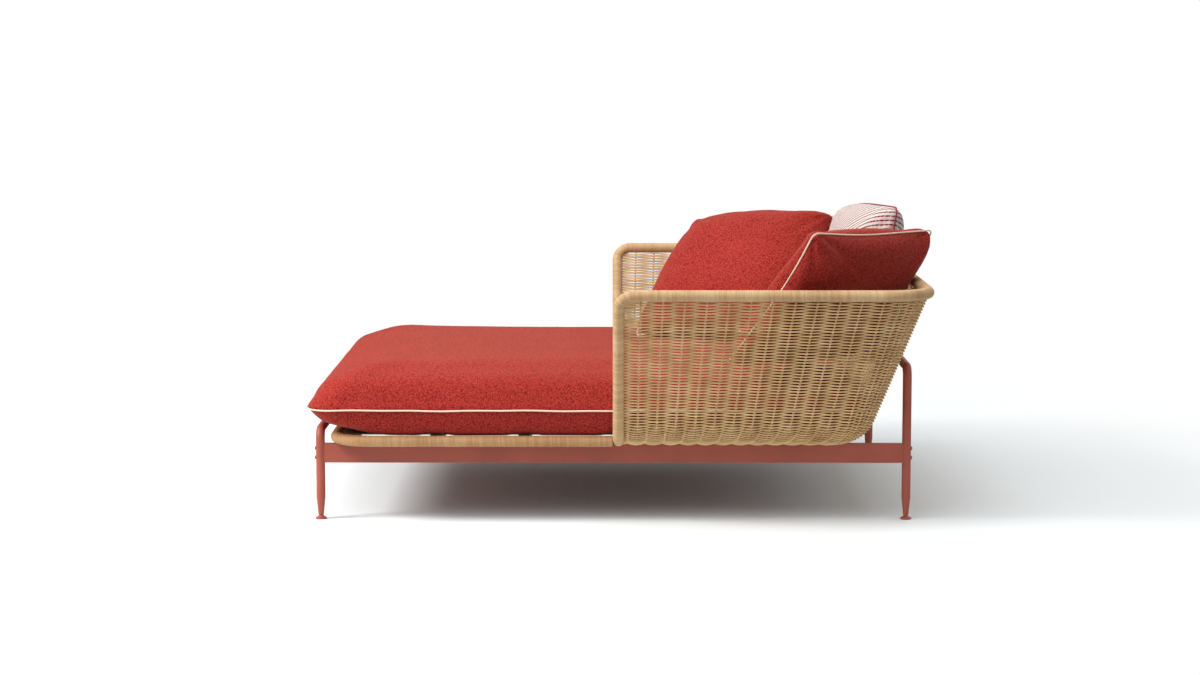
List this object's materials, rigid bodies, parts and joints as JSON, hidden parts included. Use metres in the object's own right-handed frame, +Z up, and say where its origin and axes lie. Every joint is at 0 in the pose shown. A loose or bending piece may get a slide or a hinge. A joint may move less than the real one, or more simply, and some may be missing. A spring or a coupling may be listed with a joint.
{
  "type": "outdoor daybed",
  "caption": "Outdoor daybed: painted steel under-frame, flared woven shell on a cord-wrapped hoop, thick piped mattress and loose scatter cushions.",
  "frame": {"origin": "on the floor, below the middle of the whole piece", "axes": "+X from the foot of the bed to its backrest, +Y to the left side seen from the foot end looking at the backrest, +Z up"},
  "size_m": [1.6049, 1.5561, 0.7878],
  "materials": {
    "frame_paint": "matt terracotta powder coat",
    "foot_paint": "matt terracotta powder coat",
    "core_paint": "matt tan powder coat",
    "bare_steel": "zinc plated",
    "cord": "round outdoor cord, satin",
    "red_fabric": "coarse looped outdoor weave",
    "cream_piping": "smooth corded piping",
    "striped_fabric": "flat weave with fine dotted stripes",
    "red_piping": "smooth corded piping"
  },
  "bodies": {
    "frame": {"front_bow": "frame_paint", "rear_bow": "frame_paint", "leg_tips": "frame_paint", "side_beam_right": "frame_paint", "side_beam_left": "frame_paint", "beam_plugs": "bare_steel", "leg_bolts": "frame_paint", "seat_ring": "core_paint", "seat_ring_wrap": "cord", "deck_bars": "core_paint", "deck_slats": "core_paint", "deck_screws": "bare_steel", "hoop_tube": "core_paint", "hoop_wrap": "cord", "hoop_cross_tube": "core_paint", "tube_saddles": "core_paint", "base_loop": "core_paint", "woven_wall": "cord", "stakes": "core_paint", "back_spacers": "frame_paint"},
    "foot_front_right": {"foot_front_right": "foot_paint"},
    "foot_front_left": {"foot_front_left": "foot_paint"},
    "foot_rear_right": {"foot_rear_right": "foot_paint"},
    "foot_rear_left": {"foot_rear_left": "foot_paint"},
    "mattress": {"mattress": "red_fabric", "mattress_piping": "cream_piping"},
    "near_cushion": {"near_cushion": "red_fabric", "near_cushion_piping": "cream_piping"},
    "far_cushion": {"far_cushion": "red_fabric", "far_cushion_piping": "cream_piping"},
    "striped_cushion": {"striped_cushion": "striped_fabric", "striped_cushion_piping": "red_piping"}
  },
  "joints": [
    {"name": "foot_front_right_screw", "type": "slide", "parent": "frame", "child": "foot_front_right", "axis": [0, 0, -1], "range_m": [0, 0.01]},
    {"name": "foot_front_left_screw", "type": "slide", "parent": "frame", "child": "foot_front_left", "axis": [0, 0, -1], "range_m": [0, 0.01]},
    {"name": "foot_rear_right_screw", "type": "slide", "parent": "frame", "child": "foot_rear_right", "axis": [0, 0, -1], "range_m": [0, 0.01]},
    {"name": "foot_rear_left_screw", "type": "slide", "parent": "frame", "child": "foot_rear_left", "axis": [0, 0, -1], "range_m": [0, 0.01]},
    {"name": "mattress_lift", "type": "slide", "parent": "frame", "child": "mattress", "axis": [0, 0, 1], "range_m": [0, 0.45]},
    {"name": "near_cushion_lift", "type": "slide", "parent": "mattress", "child": "near_cushion", "axis": [0, 0, 1], "range_m": [0, 0.45]},
    {"name": "far_cushion_lift", "type": "slide", "parent": "mattress", "child": "far_cushion", "axis": [0, 0, 1], "range_m": [0, 0.45]},
    {"name": "striped_cushion_lift", "type": "slide", "parent": "mattress", "child": "striped_cushion", "axis": [0, 0, 1], "range_m": [0, 0.45]}
  ]
}
